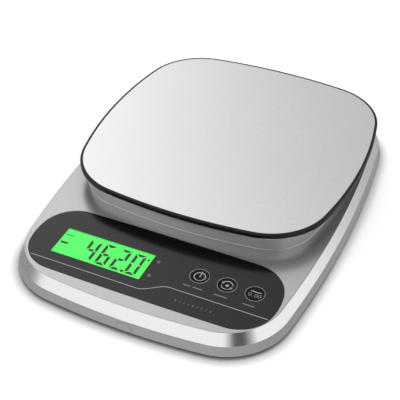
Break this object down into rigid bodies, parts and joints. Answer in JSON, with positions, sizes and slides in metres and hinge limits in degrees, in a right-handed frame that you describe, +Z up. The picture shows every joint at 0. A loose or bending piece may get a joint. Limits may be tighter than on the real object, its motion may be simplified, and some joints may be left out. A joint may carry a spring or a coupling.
{
  "type": "kitchen scale",
  "caption": "Flat electronic kitchen scale: square steel weighing platform on a low silver base with a black control panel, lit display and round buttons.",
  "frame": {"origin": "on the table, under the middle of the base's outline", "axes": "+Z up, +Y from the control panel to the back, +X to the right as seen from the front"},
  "size_m": [0.1754, 0.2396, 0.0295],
  "materials": {
    "grey_cover": "matt moulded grey",
    "bright_trim": "bright silver, satin gloss",
    "ring_silver": "satin silver",
    "silver_deck": "satin silver metallic paint",
    "screw_steel": "zinc plated",
    "foot_rubber": "matt",
    "black_panel": "high gloss black",
    "clear_window": "clear, polished",
    "black_moulding": "moulded black",
    "display_glass": "clear glass",
    "green_backlight": "lit green light guide",
    "white_moulding": "moulded off-white",
    "elastomer": "silicone with carbon layers",
    "board": "green solder mask",
    "beam_aluminium": "milled",
    "gauge_film": "amber film under clear coating",
    "cell_jacket": "plain printed jacket",
    "contact_steel": "nickel plated",
    "lead_jacket": "vinyl insulation",
    "spider_steel": "pressed, zinc plated",
    "black_rim": "satin black",
    "platform_steel": "fine satin brushed",
    "button_gloss": "gloss black"
  },
  "bodies": {
    "base": {"bottom_cover": "grey_cover", "latch_tab": "grey_cover", "trim_band": "bright_trim", "top_cover": "silver_deck", "housing_screws": "screw_steel", "rubber_feet": "foot_rubber", "control_panel": "black_panel", "display_window": "clear_window", "button_rings": "ring_silver", "tact_switches": "black_moulding", "display_glass": "display_glass", "display_backlight": "green_backlight", "backlight_leds": "green_backlight", "display_holder": "white_moulding", "connector_strips": "elastomer", "circuit_board": "board", "board_chips": "black_moulding", "board_screws": "screw_steel", "lead_sockets": "white_moulding", "load_cell": "beam_aluminium", "strain_gauges": "gauge_film", "load_cell_shim": "beam_aluminium", "load_cell_screws": "screw_steel", "battery_cells": "cell_jacket", "battery_springs": "contact_steel", "battery_contacts": "contact_steel", "gauge_lead": "lead_jacket", "battery_leads": "lead_jacket"},
    "platform": {"spider": "spider_steel", "spider_screws": "screw_steel", "spider_pads": "foot_rubber", "platform_tray": "black_rim", "platform_plate": "platform_steel"},
    "power_button": {"power_button": "button_gloss", "power_switch_stem": "white_moulding"},
    "mode_button": {"mode_button": "button_gloss", "mode_switch_stem": "white_moulding"},
    "tare_button": {"tare_button": "button_gloss", "tare_switch_stem": "white_moulding"},
    "battery_door": {"battery_door": "grey_cover"}
  },
  "joints": [
    {"name": "platform_press", "type": "slide", "parent": "base", "child": "platform", "axis": [0, 0, -1], "range_m": [0, 0.0006], "stiffness_N_per_m": 8000, "springref_m": -0.0008, "deforming": ["load_cell"]},
    {"name": "power_press", "type": "slide", "parent": "base", "child": "power_button", "axis": [0, 0, -1], "range_m": [0, 0.0006], "stiffness_N_per_m": 2000, "springref_m": -0.0003},
    {"name": "mode_press", "type": "slide", "parent": "base", "child": "mode_button", "axis": [0, 0, -1], "range_m": [0, 0.0006], "stiffness_N_per_m": 2000, "springref_m": -0.0003},
    {"name": "tare_press", "type": "slide", "parent": "base", "child": "tare_button", "axis": [0, 0, -1], "range_m": [0, 0.0006], "stiffness_N_per_m": 2000, "springref_m": -0.0003},
    {"name": "battery_door_swing", "type": "hinge", "parent": "base", "child": "battery_door", "pos_m": [0, 0.06545, 0.0029], "axis": [-1, 0, 0], "range_deg": [0, 95]}
  ]
}
